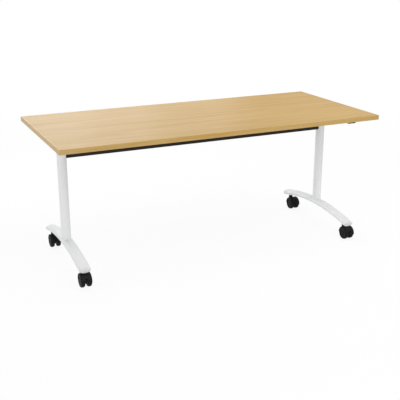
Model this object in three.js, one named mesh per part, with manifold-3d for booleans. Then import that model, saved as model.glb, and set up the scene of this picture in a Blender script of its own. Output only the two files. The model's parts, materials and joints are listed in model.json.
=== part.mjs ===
// Flip top training table: a wood-faced board that tilts up on two T legs with castors.
// Millimetres, +Z up. The origin is on the floor under the middle of the board.
// The user sits on the -Y side, and +X runs along the board's length.
import * as THREE from "three";
import { mergeVertices } from "three/addons/utils/BufferGeometryUtils.js";
import Module from "manifold-3d";

const wasm = await Module();
wasm.setup();

// Board
const tableLength = 1800;
const tableDepth = 800;
const tableHeight = 735;
const boardThickness = 25;
const bandThickness = 2;
const bandEdgeRadius = 1;

// Columns, feet and beam
const legInset = 112; // end of the board to the middle of a column
const columnDiameter = 50;
const columnWall = 2;
const footLength = 674;
const footCrownHeight = 131.5; // floor to the foot's middle line, under the column
const footEndHeight = 91; // floor to the foot's middle line, at its ends
const footWidth = 62;
const footThickness = 31.5;
const footWall = 2;
const capThickness = 4;
const capPlugLength = 14;
const beamHeight = 50;
const beamDepth = 30;
const beamWall = 2;
const beamCornerRadius = 3;
const beamDrop = 4; // top of a column to the top of the beam
const saddleReach = 12; // end of the beam to the nearest line of the column
const saddlePlugLength = 40;

// Tilting arms and their pivots
const armLength = 628;
const armWidth = 44;
const armDepth = 30;
const armWall = 2.5;
const armBendRadius = 4;
const armEndBevel = 3; // at the lower corners of the arm's closed ends
const pivotOffset = 30; // middle of the column to the pivot, towards the back
const earRadius = 14;
const pinDiameter = 12;
const pinHeadDiameter = 20;
const pinHeadThickness = 4;
const nutWidth = 19;
const nutThickness = 6;
const bushWall = 2;
const bushReach = 2; // how far the bush stands out of the lug on each side

// Column heads
const headHeight = 37;
const headCornerRadius = 4;
const spigotLength = 42;
const spigotWall = 5;
const lugRadius = 16;
const lugWrap = 60; // degrees above level to which the lug stays round
const noseFront = 12; // middle of the column to the face that the latch bolt enters
const noseRise = 18; // pivot to the top of the nose
const noseCornerRadius = 4;
const restPadThickness = 2.7;
const restPadInset = 1;
const socketDepth = 17;

// Latch and release
const boltDiameter = 10;
const boltRise = 6; // pivot to the middle of the latch bolt
const boltSetback = 5; // nose to the tip of the drawn bolt
const boltLength = 80;
const collarDiameter = 15;
const collarThickness = 3;
const collarPlace = 35; // tip of the bolt to its collar
const forkLength = 15;
const forkWidth = 14;
const forkHeight = 9;
const guideWidth = 30;
const guidePlate = 3;
const guideDrop = 8; // middle of the bolt to the bottom of the guide's walls
const guideSetback = 10; // tip of the drawn bolt to the guide's back wall
const springWire = 1.4;
const springTurns = 5;
const springMeanDiameter = 13.2;
const releaseRodDiameter = 10;
const releaseRodOverhang = 10;
const fingerLength = 14;
const fingerWidth = 4;
const fingerTipDiameter = 6;
const fingerThickness = 8;
const fingerHubDiameter = 13;
const releaseSwing = 22; // degrees to each side of upright
const triggerWidth = 34;
const triggerLength = 46;
const triggerThickness = 4;
const triggerHubDiameter = 18;
const triggerLip = 9;
const triggerInset = 34; // side of the arm to the middle of the trigger

// Castors
const castorSpread = 592; // front stem to back stem
const castorTrail = 28;
const wheelDiameter = 70;
const wheelWidth = 22;
const wheelGap = 13;
const wheelEdgeRadius = 7;
const wheelDishRadius = 24;
const wheelDishDepth = 3;
const wheelHubRadius = 10;
const wheelSkin = 3;
const axleDiameter = 8;
const hoodClearance = 1.5;
const hoodWall = 3;
const hoodEdgeRadius = 7;
const hoodWidth = 58;
const hoodHem = 2.5; // axle to the lower edge of the hood, downwards
const webThickness = 10;
const webHubRadius = 7;
const stemDiameter = 11;
const stemUpperDiameter = 10;
const stemLength = 33;
const stemSocketDepth = 18;
const castorBossDiameter = 24;
const bossRise = 20; // axle to the bottom of the boss round the stem
const seatDiameter = 24;
const seatHeight = 16;
const seatDrop = 9.5; // middle line of a foot's end to the flat seat under it
const leverPivotRadius = 28;
const leverPivotAngle = 58; // degrees from upright, to the trailing side
const leverDroop = 15; // degrees below level
const leverTongueThickness = 5.4;
const leverTongueHeight = 6;
const leverTrunnionDiameter = 4;
const leverPaddleStart = 19;
const leverPaddleLength = 8;
const leverPaddleWidth = 18;
const leverPaddleThickness = 4;
const leverSlotWidth = 6;

// Fits
const seatGap = 0.3; // between a piece and what it seats on or slides in
const looseGap = 0.6; // round a bush in its lug, a bolt in its socket and a finger in its fork
const sweepGap = 1; // between a turning ear and the head

// Facets
const columnSides = 32;
const ovalSides = 18;
const roundSides = 18;
const smallSides = 12;
const hexSides = 6;
const cornerSides = 2;
const archSteps = 12;
const copeSteps = 4;
const springStepsPerTurn = 8;
const springSides = 5;
const weldDistance = 1e-4;

// Places that follow from the sizes
const undersideZ = tableHeight - boardThickness;
const flangeZ = undersideZ - armDepth;
const pivotZ = flangeZ;
const padBottomZ = flangeZ - seatGap - restPadThickness;
const columnTopZ = padBottomZ - headHeight;
const columnX = tableLength / 2 - legInset;
const columnRadius = columnDiameter / 2;
const beamTopZ = columnTopZ - beamDrop;
const beamZ = beamTopZ - beamHeight / 2;
const beamEndX = columnX - columnRadius - saddleReach;
const lugWidth = armWidth - 2 * (armWall + seatGap + bushReach);
const boltZ = pivotZ + boltRise;
const boltTipY = -noseFront - boltSetback;
const rodZ = boltZ + fingerLength;
const swing = THREE.MathUtils.degToRad(releaseSwing);
const forkY = boltTipY - boltLength - forkLength / 2;
const rodY = forkY + fingerLength * Math.sin(swing);
const guideBackY = boltTipY - guideSetback;
const collarFrontY = boltTipY - collarPlace - collarThickness;
const axleZ = wheelDiameter / 2;
const hoodRadius = axleZ + hoodClearance + hoodWall;
const seatZ = footEndHeight - seatDrop;
const bossTopZ = seatZ - seatGap;
const bossBottomZ = axleZ + bossRise;

// The foot's middle line is an arc through its crown and its two ends.
const footRise = footCrownHeight - footEndHeight;
const archRadius = ((footLength / 2) ** 2 + footRise ** 2) / (2 * footRise);
const archHalf = archRadius * Math.asin(footLength / 2 / archRadius);

const axisX = new THREE.Vector3(1, 0, 0);
const axisY = new THREE.Vector3(0, 1, 0);
const axisZ = new THREE.Vector3(0, 0, 1);
const alongX = new THREE.Matrix4().makeBasis(axisY, axisZ, axisX);
const alongY = new THREE.Matrix4().makeBasis(axisZ, axisX, axisY);

// Joins and cuts

function solidOf(geometry) {
  const bare = geometry.clone();
  bare.deleteAttribute("normal");
  bare.deleteAttribute("uv");
  const merged = mergeVertices(bare, weldDistance);
  const mesh = new wasm.Mesh({
    numProp: 3,
    vertProperties: merged.attributes.position.array,
    triVerts: new Uint32Array(merged.index.array),
  });
  return new wasm.Manifold(mesh);
}

function geometryOf(body) {
  const mesh = body.getMesh();
  const geometry = new THREE.BufferGeometry();
  geometry.setAttribute("position", new THREE.BufferAttribute(mesh.vertProperties, 3));
  geometry.setIndex(new THREE.BufferAttribute(mesh.triVerts, 1));
  return geometry;
}

function join(first, ...others) {
  return geometryOf(others.reduce((sum, next) => sum.add(solidOf(next)), solidOf(first)));
}

function cut(first, ...tools) {
  return geometryOf(tools.reduce((rest, tool) => rest.subtract(solidOf(tool)), solidOf(first)));
}

function common(first, second) {
  return geometryOf(solidOf(first).intersect(solidOf(second)));
}

// Plain forms, each placed by its middle

function block(sizeX, sizeY, sizeZ, x, y, z) {
  return new THREE.BoxGeometry(sizeX, sizeY, sizeZ).translate(x, y, z);
}

function roundBarX(diameter, length, x, y, z, sides = smallSides) {
  const bar = new THREE.CylinderGeometry(diameter / 2, diameter / 2, length, sides);
  return bar.rotateZ(-Math.PI / 2).translate(x, y, z);
}

function roundBarY(diameter, length, x, y, z, sides = smallSides) {
  return new THREE.CylinderGeometry(diameter / 2, diameter / 2, length, sides).translate(x, y, z);
}

function roundBarZ(diameter, length, x, y, z, sides = smallSides) {
  const bar = new THREE.CylinderGeometry(diameter / 2, diameter / 2, length, sides);
  return bar.rotateX(Math.PI / 2).translate(x, y, z);
}

function extruded(shape, length, sides) {
  const options = { depth: length, bevelEnabled: false, curveSegments: sides / 2 };
  return new THREE.ExtrudeGeometry(shape, options).translate(0, 0, -length / 2);
}

// A shape drawn in (y, z), run along X.
function profileAlongX(shape, length, sides = smallSides) {
  return extruded(shape, length, sides).applyMatrix4(alongX);
}

// A shape drawn in (z, x), run along Y.
function profileAlongY(shape, length, sides = smallSides) {
  return extruded(shape, length, sides).applyMatrix4(alongY);
}

// A profile of (radius, place along the axis) turned about X.
function turnedAboutX(path, arcPoints, sides = roundSides) {
  const points = path.getPoints(arcPoints);
  return new THREE.LatheGeometry(points, sides).rotateZ(-Math.PI / 2);
}

function roundedRectangle(width, height, radius) {
  const shape = new THREE.Shape();
  const x = width / 2 - radius;
  const y = height / 2 - radius;
  shape.absarc(x, y, radius, 0, Math.PI / 2);
  shape.absarc(-x, y, radius, Math.PI / 2, Math.PI);
  shape.absarc(-x, -y, radius, Math.PI, 1.5 * Math.PI);
  shape.absarc(x, -y, radius, 1.5 * Math.PI, 2 * Math.PI);
  return shape;
}

// Finishes

const finishes = {
  oak: { color: 0xd8bd92, roughness: 0.5, metalness: 0 },
  oakBand: { color: 0xc7a56a, roughness: 0.45, metalness: 0 },
  whiteSteel: { color: 0xe6e6e6, roughness: 0.4, metalness: 0.1 },
  whitePlastic: { color: 0xe2e2e2, roughness: 0.5, metalness: 0 },
  blackSteel: { color: 0x2a2724, roughness: 0.5, metalness: 0.2 },
  blackPlastic: { color: 0x222224, roughness: 0.55, metalness: 0 },
  castorTread: { color: 0x2c2c2e, roughness: 0.65, metalness: 0 },
  bareSteel: { color: 0xa9abad, roughness: 0.35, metalness: 0.9 },
  rubber: { color: 0x1d1d1d, roughness: 0.85, metalness: 0 },
};

const table = new THREE.Group();
table.name = "flip_top_table";

function addPiece(name, geometry, finish, parent = table) {
  const material = new THREE.MeshStandardMaterial({ ...finishes[finish], flatShading: true });
  const mesh = new THREE.Mesh(geometry, material);
  mesh.name = name;
  parent.add(mesh);
  return mesh;
}

// Board and its edge bands

function boardCore() {
  const length = tableLength - 2 * bandThickness;
  const depth = tableDepth - 2 * bandThickness;
  return block(length, depth, boardThickness, 0, 0, undersideZ + boardThickness / 2);
}

// A band whose outer face is to -Y, with its two outer edges eased.
function edgeBand(length, reach) {
  const shape = new THREE.Shape();
  const outer = -reach;
  const inner = outer + bandThickness;
  shape.moveTo(inner, tableHeight);
  shape.lineTo(outer + bandEdgeRadius, tableHeight);
  shape.absarc(outer + bandEdgeRadius, tableHeight - bandEdgeRadius, bandEdgeRadius, Math.PI / 2, Math.PI);
  shape.absarc(outer + bandEdgeRadius, undersideZ + bandEdgeRadius, bandEdgeRadius, Math.PI, 1.5 * Math.PI);
  shape.lineTo(inner, undersideZ);
  return profileAlongX(shape, length, cornerSides);
}

function addBoard() {
  const sideLength = tableDepth - 2 * bandThickness;
  addPiece("table_top", boardCore(), "oak");
  addPiece("edge_band_front", edgeBand(tableLength, tableDepth / 2), "oakBand");
  addPiece("edge_band_back", edgeBand(tableLength, tableDepth / 2).rotateZ(Math.PI), "oakBand");
  addPiece("edge_band_left", edgeBand(sideLength, tableLength / 2).rotateZ(-Math.PI / 2), "oakBand");
  addPiece("edge_band_right", edgeBand(sideLength, tableLength / 2).rotateZ(Math.PI / 2), "oakBand");
}

// Feet: oval tubes bent to an arc

function ovalShape(inset) {
  const shape = new THREE.Shape();
  shape.absellipse(0, 0, footWidth / 2 - inset, footThickness / 2 - inset, 0, 2 * Math.PI);
  return shape;
}

// Takes a straight oval run along Y, with its middle at height 0, onto the foot's arc.
function bendToArch(geometry) {
  const place = geometry.attributes.position;
  for (let i = 0; i < place.count; i += 1) {
    const angle = place.getY(i) / archRadius;
    const radius = archRadius + place.getZ(i);
    place.setY(i, radius * Math.sin(angle));
    place.setZ(i, footCrownHeight - archRadius + radius * Math.cos(angle));
  }
  return geometry;
}

// A shape drawn in (x, height), run along the arch from one place to another.
function archRun(shape, from, to, steps) {
  const options = { depth: to - from, steps, bevelEnabled: false, curveSegments: ovalSides / 2 };
  const run = new THREE.ExtrudeGeometry(shape, options);
  run.rotateX(Math.PI / 2).translate(0, to, 0);
  return bendToArch(run);
}

function footTube() {
  const ring = ovalShape(0);
  ring.holes.push(ovalShape(footWall));
  const half = archHalf - capThickness - seatGap;
  let foot = archRun(ring, -half, half, archSteps);
  for (const end of [-1, 1]) {
    const stemY = (end * castorSpread) / 2;
    const seat = roundBarZ(seatDiameter, seatHeight, 0, stemY, seatZ + seatHeight / 2);
    const bore = roundBarZ(stemUpperDiameter + 2 * seatGap, 2 * seatHeight, 0, stemY, seatZ + seatHeight / 2);
    foot = cut(join(foot, seat), bore);
  }
  return foot;
}

function footCap(end) {
  const plugFrom = archHalf - capThickness - capPlugLength;
  const plateFrom = archHalf - capThickness;
  const plate = archRun(ovalShape(0), plateFrom, archHalf, 1);
  const plug = archRun(ovalShape(footWall + seatGap), plugFrom, plateFrom + capThickness / 2, 1);
  const cap = join(plate, plug);
  return end > 0 ? cap : cap.rotateZ(Math.PI);
}

// Columns, coped onto the crown of the feet

function columnTube() {
  const ring = new THREE.Shape();
  ring.absarc(0, 0, columnRadius, 0, 2 * Math.PI);
  const bore = new THREE.Path();
  bore.absarc(0, 0, columnRadius - columnWall, 0, 2 * Math.PI);
  ring.holes.push(bore);
  const bottomZ = footCrownHeight;
  const tube = extruded(ring, columnTopZ - bottomZ, columnSides).translate(0, 0, (columnTopZ + bottomZ) / 2);
  return cut(tube, archRun(ovalShape(-seatGap), -columnDiameter, columnDiameter, copeSteps));
}

// Beam between the columns, with a saddle plugged into each end

function beamTube() {
  const shape = roundedRectangle(beamDepth, beamHeight, beamCornerRadius);
  const bore = beamDepth - 2 * beamWall;
  shape.holes.push(roundedRectangle(bore, beamHeight - 2 * beamWall, beamCornerRadius - beamWall));
  return profileAlongX(shape, 2 * (beamEndX - seatGap), cornerSides).translate(0, 0, beamZ);
}

// The right-hand saddle. The left one is the same piece turned round.
function beamSaddle() {
  const outline = roundedRectangle(beamDepth, beamHeight, beamCornerRadius);
  const bodyLength = saddleReach + columnRadius / 2;
  const body = profileAlongX(outline, bodyLength, cornerSides).translate(beamEndX + bodyLength / 2, 0, beamZ);
  const inset = 2 * (beamWall + seatGap);
  const plug = block(saddlePlugLength, beamDepth - inset, beamHeight - inset, beamEndX, 0, beamZ);
  const column = roundBarZ(columnDiameter + 2 * seatGap, 2 * beamHeight, columnX, 0, beamZ, columnSides);
  const plugged = join(body, plug.translate(saddleReach - saddlePlugLength / 2, 0, 0));
  return cut(plugged, column);
}

// Column heads: a spigot, a D-shaped body, and a nose that carries the pivot lug

function headOutline(inset) {
  const radius = columnRadius - inset;
  const back = pivotOffset - seatGap - inset;
  const corner = headCornerRadius;
  const shape = new THREE.Shape();
  shape.absarc(0, 0, radius, Math.PI, 2 * Math.PI);
  shape.absarc(radius - corner, back - corner, corner, 0, Math.PI / 2);
  shape.absarc(corner - radius, back - corner, corner, Math.PI / 2, Math.PI);
  return shape;
}

function noseShape() {
  const shape = new THREE.Shape();
  const topZ = pivotZ + noseRise;
  shape.absarc(pivotOffset, pivotZ, lugRadius, -Math.PI / 2, THREE.MathUtils.degToRad(lugWrap));
  shape.lineTo(pivotOffset, topZ);
  shape.absarc(noseCornerRadius - noseFront, topZ - noseCornerRadius, noseCornerRadius, Math.PI / 2, Math.PI);
  shape.lineTo(-noseFront, pivotZ - lugRadius);
  return shape;
}

function columnHead() {
  const bottomZ = columnTopZ + seatGap;
  const bodyHeight = padBottomZ - bottomZ;
  const body = extruded(headOutline(0), bodyHeight, roundSides).translate(0, 0, bottomZ + bodyHeight / 2);
  const spigotRadius = columnRadius - columnWall - seatGap;
  const spigotZ = bottomZ - (spigotLength - spigotWall) / 2;
  const spigot = roundBarZ(2 * spigotRadius, spigotLength + spigotWall, 0, 0, spigotZ, roundSides);
  const hollowZ = bottomZ - spigotWall - spigotLength;
  const hollow = roundBarZ(2 * (spigotRadius - spigotWall), 2 * spigotLength, 0, 0, hollowZ, roundSides);
  const earRoom = (columnDiameter - lugWidth) / 2;
  const earX = (lugWidth + earRoom) / 2;
  const earSpace = 2 * (earRadius + sweepGap);
  const leftEar = roundBarX(earSpace, earRoom + sweepGap, -earX, pivotOffset, pivotZ);
  const rightEar = roundBarX(earSpace, earRoom + sweepGap, earX, pivotOffset, pivotZ);
  const nose = profileAlongX(noseShape(), lugWidth);
  const bore = roundBarX(pinDiameter + 2 * (bushWall + looseGap), armWidth, 0, pivotOffset, pivotZ);
  const socketY = socketDepth / 2 - noseFront;
  const socket = roundBarY(boltDiameter + 2 * looseGap, socketDepth, 0, socketY, boltZ);
  return cut(join(cut(body, leftEar, rightEar), spigot, nose), hollow, bore, socket);
}

// A rubber collar round the nose, on which the arm's flanges come to rest.
function restPad() {
  const pad = extruded(headOutline(restPadInset), restPadThickness, roundSides);
  pad.translate(0, 0, padBottomZ + restPadThickness / 2);
  const noseWidth = lugWidth + 2 * seatGap;
  const noseLength = noseFront + seatGap + pivotOffset;
  const noseY = noseLength / 2 - noseFront - seatGap;
  const noseSpace = block(noseWidth, noseLength, armDepth, 0, noseY, padBottomZ);
  const backY = pivotOffset - earRadius - 2 * sweepGap;
  const backSpace = block(2 * armWidth, pivotOffset, armDepth, 0, backY + pivotOffset / 2, padBottomZ);
  return cut(pad, noseSpace, backSpace);
}

function pivotBush() {
  const length = lugWidth + 2 * bushReach;
  const inner = pinDiameter + 2 * seatGap;
  const outer = roundBarX(inner + 2 * bushWall, length, 0, pivotOffset, pivotZ);
  return cut(outer, roundBarX(inner, 2 * length, 0, pivotOffset, pivotZ));
}

// A shouldered bolt with a round head on one side and a nut on the other.
function pivotPin() {
  const side = armWidth / 2 + seatGap;
  const shaftLength = 2 * side + pinHeadThickness + nutThickness;
  const shaftX = (pinHeadThickness - nutThickness) / 2;
  const shaft = roundBarX(pinDiameter, shaftLength, shaftX, pivotOffset, pivotZ);
  const head = roundBarX(pinHeadDiameter, pinHeadThickness, side + pinHeadThickness / 2, pivotOffset, pivotZ);
  const nut = roundBarX(nutWidth, nutThickness, -side - nutThickness / 2, pivotOffset, pivotZ, hexSides);
  return join(shaft, head, nut);
}

// Tilting arm: a channel, open below, with closed ends and an ear on each flange for the pivot

function channelShape() {
  const half = armWidth / 2;
  const inner = half - armWall;
  const shape = new THREE.Shape();
  shape.moveTo(flangeZ, -half);
  shape.lineTo(undersideZ - armBendRadius, -half);
  shape.absarc(undersideZ - armBendRadius, armBendRadius - half, armBendRadius, -Math.PI / 2, 0);
  shape.absarc(undersideZ - armBendRadius, half - armBendRadius, armBendRadius, 0, Math.PI / 2);
  shape.lineTo(flangeZ, half);
  shape.lineTo(flangeZ, inner);
  shape.lineTo(undersideZ - armWall, inner);
  shape.lineTo(undersideZ - armWall, -inner);
  shape.lineTo(flangeZ, -inner);
  return shape;
}

// The wedge that bevels the lower corner of the arm's back end.
function endWedge() {
  const endY = armLength / 2 + armWall;
  const bottomZ = flangeZ - armWall;
  const reach = armEndBevel + 2 * armWall;
  const shape = new THREE.Shape();
  shape.moveTo(endY, bottomZ);
  shape.lineTo(endY, bottomZ + reach);
  shape.lineTo(endY - reach, bottomZ);
  return profileAlongX(shape, 2 * armWidth);
}

function tiltArm() {
  const channel = profileAlongY(channelShape(), armLength, cornerSides);
  const endHeight = armDepth - armWall / 2;
  const endY = (armLength - armWall) / 2;
  const endZ = flangeZ + endHeight / 2;
  const ends = [-endY, endY].map((y) => block(armWidth - armWall, armWall, endHeight, 0, y, endZ));
  const wedges = [endWedge(), endWedge().rotateZ(Math.PI)];
  const flangeX = (armWidth - armWall) / 2;
  const ears = [-flangeX, flangeX].map((x) => roundBarX(2 * earRadius, armWall, x, pivotOffset, pivotZ));
  const pinHole = roundBarX(pinDiameter + 2 * seatGap, 2 * armWidth, 0, pivotOffset, pivotZ);
  const rodHole = roundBarX(releaseRodDiameter + 2 * seatGap, 2 * armWidth, 0, rodY, rodZ);
  return cut(join(channel, ...ends, ...ears), pinHole, rodHole, ...wedges);
}

// Latch: a sprung bolt in a bent guide under the arm's web

function latchGuide() {
  const topZ = undersideZ - armWall - seatGap;
  const bottomZ = boltZ - guideDrop;
  const frontY = collarFrontY - seatGap - springLength() - seatGap - guidePlate;
  const shape = new THREE.Shape();
  shape.moveTo(frontY, bottomZ);
  shape.lineTo(frontY + guidePlate, bottomZ);
  shape.lineTo(frontY + guidePlate, topZ - guidePlate);
  shape.lineTo(guideBackY - guidePlate, topZ - guidePlate);
  shape.lineTo(guideBackY - guidePlate, bottomZ);
  shape.lineTo(guideBackY, bottomZ);
  shape.lineTo(guideBackY, topZ);
  shape.lineTo(frontY, topZ);
  const bent = profileAlongX(shape, guideWidth);
  return cut(bent, roundBarY(boltDiameter + 2 * seatGap, 2 * boltLength, 0, frontY, boltZ));
}

function latchBolt() {
  const shaft = roundBarY(boltDiameter, boltLength, 0, boltTipY - boltLength / 2, boltZ);
  const collarY = boltTipY - collarPlace - collarThickness / 2;
  const collar = roundBarY(collarDiameter, collarThickness, 0, collarY, boltZ);
  const fork = block(forkWidth, forkLength, forkHeight, 0, forkY, boltZ);
  const slot = block(2 * forkWidth, fingerTipDiameter + 2 * looseGap, 2 * forkHeight, 0, forkY, boltZ);
  const cheekWidth = (forkWidth - fingerThickness) / 2 - seatGap;
  const cheekX = (forkWidth - cheekWidth) / 2;
  const cheeks = [-cheekX, cheekX].map((x) => block(cheekWidth, forkLength, forkHeight, x, forkY, boltZ));
  return join(shaft, collar, cut(fork, slot), ...cheeks);
}

class HelixAlongY extends THREE.Curve {
  getPoint(t, target = new THREE.Vector3()) {
    const turn = 2 * Math.PI * springTurns * t;
    const radius = springMeanDiameter / 2;
    const run = springLength() - springWire;
    return target.set(radius * Math.cos(turn), run * t, radius * Math.sin(turn));
  }
}

function springLength() {
  return 2 * springWire * springTurns + springWire;
}

// The least gap between one turn and the next, measured on points of the middle line.
function springSelfGap(helix) {
  const points = helix.getPoints(springTurns * springStepsPerTurn);
  const distances = points.slice(springStepsPerTurn).map((point, i) => point.distanceTo(points[i]));
  return Math.min(...distances) - springWire;
}

function latchSpring() {
  const helix = new HelixAlongY();
  const section = new THREE.Shape();
  section.absarc(0, 0, springWire / 2, 0, 2 * Math.PI);
  const steps = springTurns * springStepsPerTurn;
  const options = { steps, extrudePath: helix, curveSegments: springSides / 2 };
  const backY = collarFrontY - seatGap - springLength() + springWire / 2;
  return new THREE.ExtrudeGeometry(section, options).translate(0, backY, boltZ);
}

// Release: one rod through both arms, with a finger for each bolt and a trigger beside each arm

function releaseRod() {
  const length = 2 * columnX + armWidth + 2 * releaseRodOverhang;
  let rod = roundBarX(releaseRodDiameter, length, 0, 0, 0);
  for (const x of [-columnX, columnX]) {
    const hub = roundBarX(fingerHubDiameter, fingerThickness, x, 0, 0);
    const bar = block(fingerThickness, fingerWidth, fingerLength, x, 0, -fingerLength / 2);
    const tip = roundBarX(fingerTipDiameter, fingerThickness, x, 0, -fingerLength);
    rod = join(rod, hub, bar, tip);
  }
  return rod.rotateX(-swing).translate(0, rodY, rodZ);
}

function releaseTrigger(x) {
  const hub = roundBarX(triggerHubDiameter, triggerWidth, 0, 0, 0);
  const bore = roundBarX(releaseRodDiameter + 2 * seatGap, 2 * triggerWidth, 0, 0, 0);
  const shape = new THREE.Shape();
  const half = triggerThickness / 2;
  shape.moveTo(-half, 0);
  shape.lineTo(-half, -triggerLength + triggerLip);
  shape.quadraticCurveTo(-half, -triggerLength, -half - triggerLip, -triggerLength);
  shape.lineTo(-half - triggerLip, -triggerLength - triggerThickness);
  shape.quadraticCurveTo(half, -triggerLength - triggerThickness, half, -triggerLength + triggerLip);
  shape.lineTo(half, 0);
  const plate = profileAlongX(shape, triggerWidth, smallSides / 2);
  const trigger = cut(join(hub, plate), bore);
  return trigger.rotateX(-swing).translate(x, rodY, rodZ);
}

// Castors: twin wheels under a hood, trailing towards -Y from the stem

function castorStem() {
  const lowerLength = stemSocketDepth - 2 * seatGap;
  const lower = roundBarZ(stemDiameter, lowerLength, 0, 0, bossTopZ - lowerLength / 2);
  const upper = roundBarZ(stemUpperDiameter, stemLength, 0, 0, bossTopZ - lowerLength + stemLength / 2);
  return join(lower, upper);
}

function hoodDrum() {
  const half = hoodWidth / 2;
  const path = new THREE.Path();
  path.moveTo(0, -half);
  path.lineTo(hoodRadius - hoodEdgeRadius, -half);
  path.absarc(hoodRadius - hoodEdgeRadius, hoodEdgeRadius - half, hoodEdgeRadius, -Math.PI / 2, 0);
  path.absarc(hoodRadius - hoodEdgeRadius, half - hoodEdgeRadius, hoodEdgeRadius, 0, Math.PI / 2);
  path.lineTo(0, half);
  return turnedAboutX(path, cornerSides / 2).translate(0, -castorTrail, axleZ);
}

function leverPivot() {
  const angle = THREE.MathUtils.degToRad(leverPivotAngle);
  const y = -castorTrail - leverPivotRadius * Math.sin(angle);
  return { y, z: axleZ + leverPivotRadius * Math.cos(angle) };
}

function castorHood() {
  const hemZ = axleZ - hoodHem;
  const above = block(2 * hoodWidth, 4 * hoodRadius, 2 * hoodRadius, 0, -castorTrail, hemZ + hoodRadius);
  const bossHeight = bossTopZ - bossBottomZ;
  const boss = roundBarZ(castorBossDiameter, bossHeight, 0, 0, bossBottomZ + bossHeight / 2);
  const hub = roundBarX(2 * webHubRadius, webThickness, 0, -castorTrail, axleZ);
  const roomWidth = hoodWidth / 2;
  const roomX = (webThickness + roomWidth) / 2;
  const room = 2 * (axleZ + hoodClearance);
  const rooms = [-roomX, roomX].map((x) => roundBarX(room, roomWidth, x, -castorTrail, axleZ, roundSides));
  const stemBore = roundBarZ(stemDiameter + 2 * seatGap, 2 * stemSocketDepth, 0, 0, bossTopZ);
  const axleBore = roundBarX(axleDiameter + 2 * seatGap, 2 * webThickness, 0, -castorTrail, axleZ);
  const pivot = leverPivot();
  const slotY = pivot.y + leverTongueHeight - hoodRadius / 2;
  const slotHeight = 2 * (pivot.z + leverTongueHeight - hemZ);
  const slot = block(leverSlotWidth, hoodRadius, slotHeight, 0, slotY, hemZ);
  const pinHole = roundBarX(leverTrunnionDiameter + 2 * seatGap, 2 * webThickness, 0, pivot.y, pivot.z);
  const shell = cut(join(common(hoodDrum(), above), boss), ...rooms);
  return cut(join(shell, hub), stemBore, axleBore, slot, pinHole);
}

function castorAxle() {
  const length = wheelGap + 2 * (wheelWidth - wheelDishDepth - wheelSkin - seatGap);
  return roundBarX(axleDiameter, length, 0, -castorTrail, axleZ);
}

// The right-hand wheel. The left one is the same piece turned round.
function castorWheel() {
  const inner = wheelGap / 2;
  const outer = inner + wheelWidth;
  const bore = axleDiameter / 2 + seatGap;
  const boreEnd = outer - wheelDishDepth - wheelSkin;
  const edge = axleZ - wheelEdgeRadius;
  const path = new THREE.Path();
  path.moveTo(0, boreEnd);
  path.lineTo(bore, boreEnd);
  path.lineTo(bore, inner);
  path.absarc(edge, inner + wheelEdgeRadius, wheelEdgeRadius, -Math.PI / 2, 0);
  path.absarc(edge, outer - wheelEdgeRadius, wheelEdgeRadius, 0, Math.PI / 2);
  path.lineTo(wheelDishRadius, outer);
  path.lineTo(wheelDishRadius - wheelDishDepth, outer - wheelDishDepth);
  path.lineTo(wheelHubRadius + wheelDishDepth, outer - wheelDishDepth);
  path.lineTo(wheelHubRadius, outer - wheelDishDepth / 2);
  path.lineTo(0, outer - wheelDishDepth / 2);
  return turnedAboutX(path, cornerSides / 2);
}

function brakeLever() {
  const pivot = leverPivot();
  const reach = leverPaddleStart + leverPaddleLength / 2;
  const tongue = block(leverTongueThickness, reach, leverTongueHeight, 0, -reach / 2, 0);
  const eye = roundBarX(leverTongueHeight, leverTongueThickness, 0, 0, 0);
  const trunnion = roundBarX(leverTrunnionDiameter, webThickness, 0, 0, 0);
  const paddleShape = roundedRectangle(leverPaddleLength, leverPaddleThickness, leverPaddleThickness / 2);
  const paddle = profileAlongX(paddleShape, leverPaddleWidth, cornerSides);
  paddle.translate(0, -leverPaddleStart - leverPaddleLength / 2, 0);
  const lever = join(tongue, eye, trunnion, paddle);
  return lever.rotateX(THREE.MathUtils.degToRad(leverDroop)).translate(0, pivot.y, pivot.z);
}

function addCastor(corner, x, y) {
  const castor = new THREE.Group();
  castor.position.set(x, y, 0);
  addPiece(`castor_${corner}_stem`, castorStem(), "bareSteel", castor);
  addPiece(`castor_${corner}_hood`, castorHood(), "blackPlastic", castor);
  addPiece(`castor_${corner}_axle`, castorAxle(), "bareSteel", castor);
  addPiece(`castor_${corner}_brake_lever`, brakeLever(), "blackPlastic", castor);
  for (const side of ["left", "right"]) {
    const wheel = addPiece(`castor_${corner}_wheel_${side}`, castorWheel(), "castorTread", castor);
    wheel.position.set(0, -castorTrail, axleZ);
    wheel.rotation.z = side === "left" ? Math.PI : 0;
  }
  table.add(castor);
}

// One leg and the parts of the tilting gear above it

function addLeg(side, x) {
  const leg = new THREE.Group();
  leg.position.x = x;
  addPiece(`column_${side}`, columnTube(), "whiteSteel", leg);
  addPiece(`foot_${side}`, footTube(), "whiteSteel", leg);
  addPiece(`foot_cap_${side}_front`, footCap(-1), "whitePlastic", leg);
  addPiece(`foot_cap_${side}_back`, footCap(1), "whitePlastic", leg);
  addPiece(`column_head_${side}`, columnHead(), "blackSteel", leg);
  addPiece(`rest_pad_${side}`, restPad(), "rubber", leg);
  addPiece(`pivot_bush_${side}`, pivotBush(), "blackPlastic", leg);
  addPiece(`pivot_pin_${side}`, pivotPin(), "bareSteel", leg);
  addPiece(`tilt_arm_${side}`, tiltArm(), "blackSteel", leg);
  addPiece(`latch_guide_${side}`, latchGuide(), "blackSteel", leg);
  addPiece(`latch_bolt_${side}`, latchBolt(), "bareSteel", leg);
  addPiece(`latch_spring_${side}`, latchSpring(), "bareSteel", leg);
  table.add(leg);
}

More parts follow.
